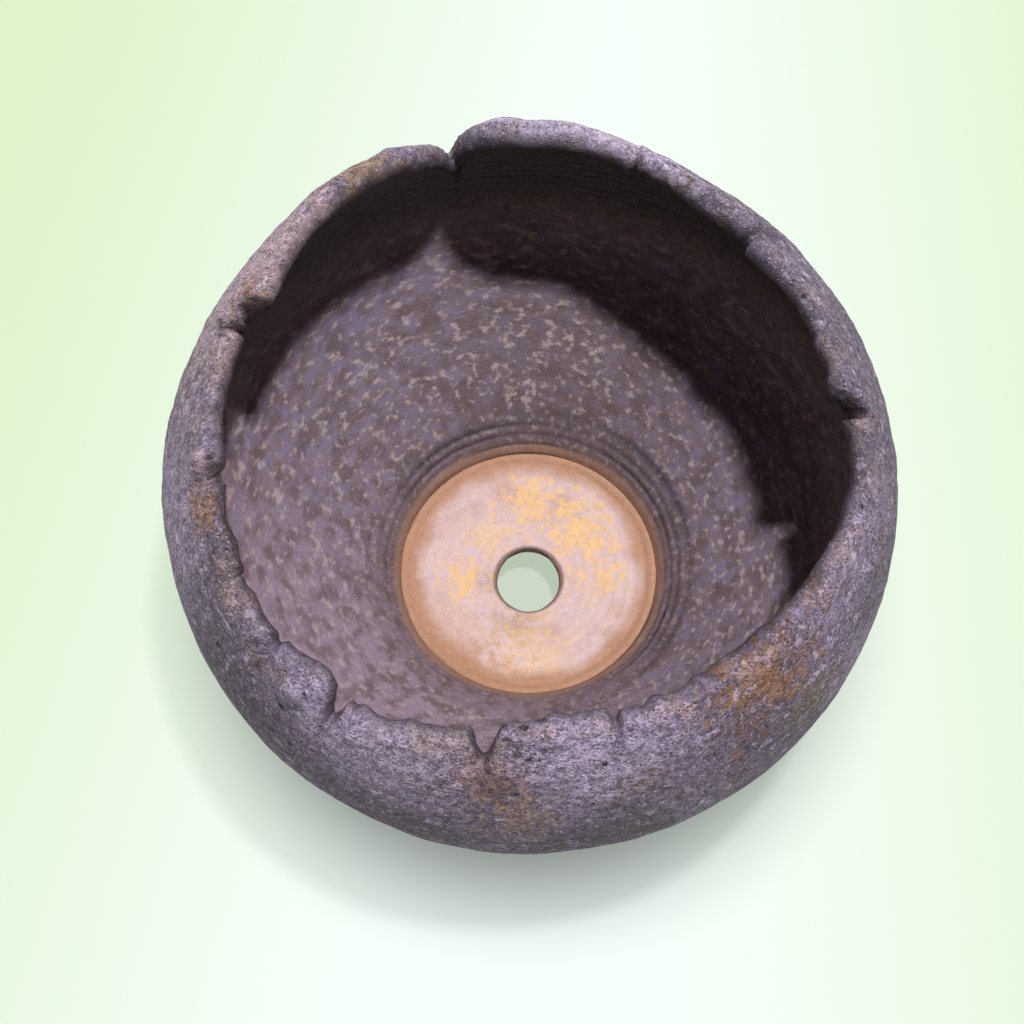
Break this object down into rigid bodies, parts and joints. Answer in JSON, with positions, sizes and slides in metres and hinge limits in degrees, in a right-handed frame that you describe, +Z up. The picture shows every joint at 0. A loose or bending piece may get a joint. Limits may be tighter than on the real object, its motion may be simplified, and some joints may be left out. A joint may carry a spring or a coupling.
{
  "type": "ceramic planter",
  "caption": "Round stoneware planter with a full belly, a torn curled-in rim, a drain hole in its floor and small clay feet.",
  "frame": {"origin": "on the table, under the middle of the pot: the bottom of the feet is z = 0 and the pot's axis is the Z axis", "axes": "+Z up out of the mouth, -Y to the front, where the deepest tear of the rim is, +X to the right"},
  "size_m": [0.232, 0.232, 0.1626],
  "materials": {
    "wall_clay": "matt unglazed stoneware, grainy purple-brown with rust patches",
    "slab_clay": "matt unglazed stoneware, pinkish beige with ochre flashes",
    "foot_clay": "matt unglazed stoneware, dark brown"
  },
  "bodies": {
    "root": {"pot_wall": "wall_clay", "base_slab": "slab_clay", "foot_back": "foot_clay", "foot_front_left": "foot_clay", "foot_front_right": "foot_clay"}
  },
  "joints": []
}
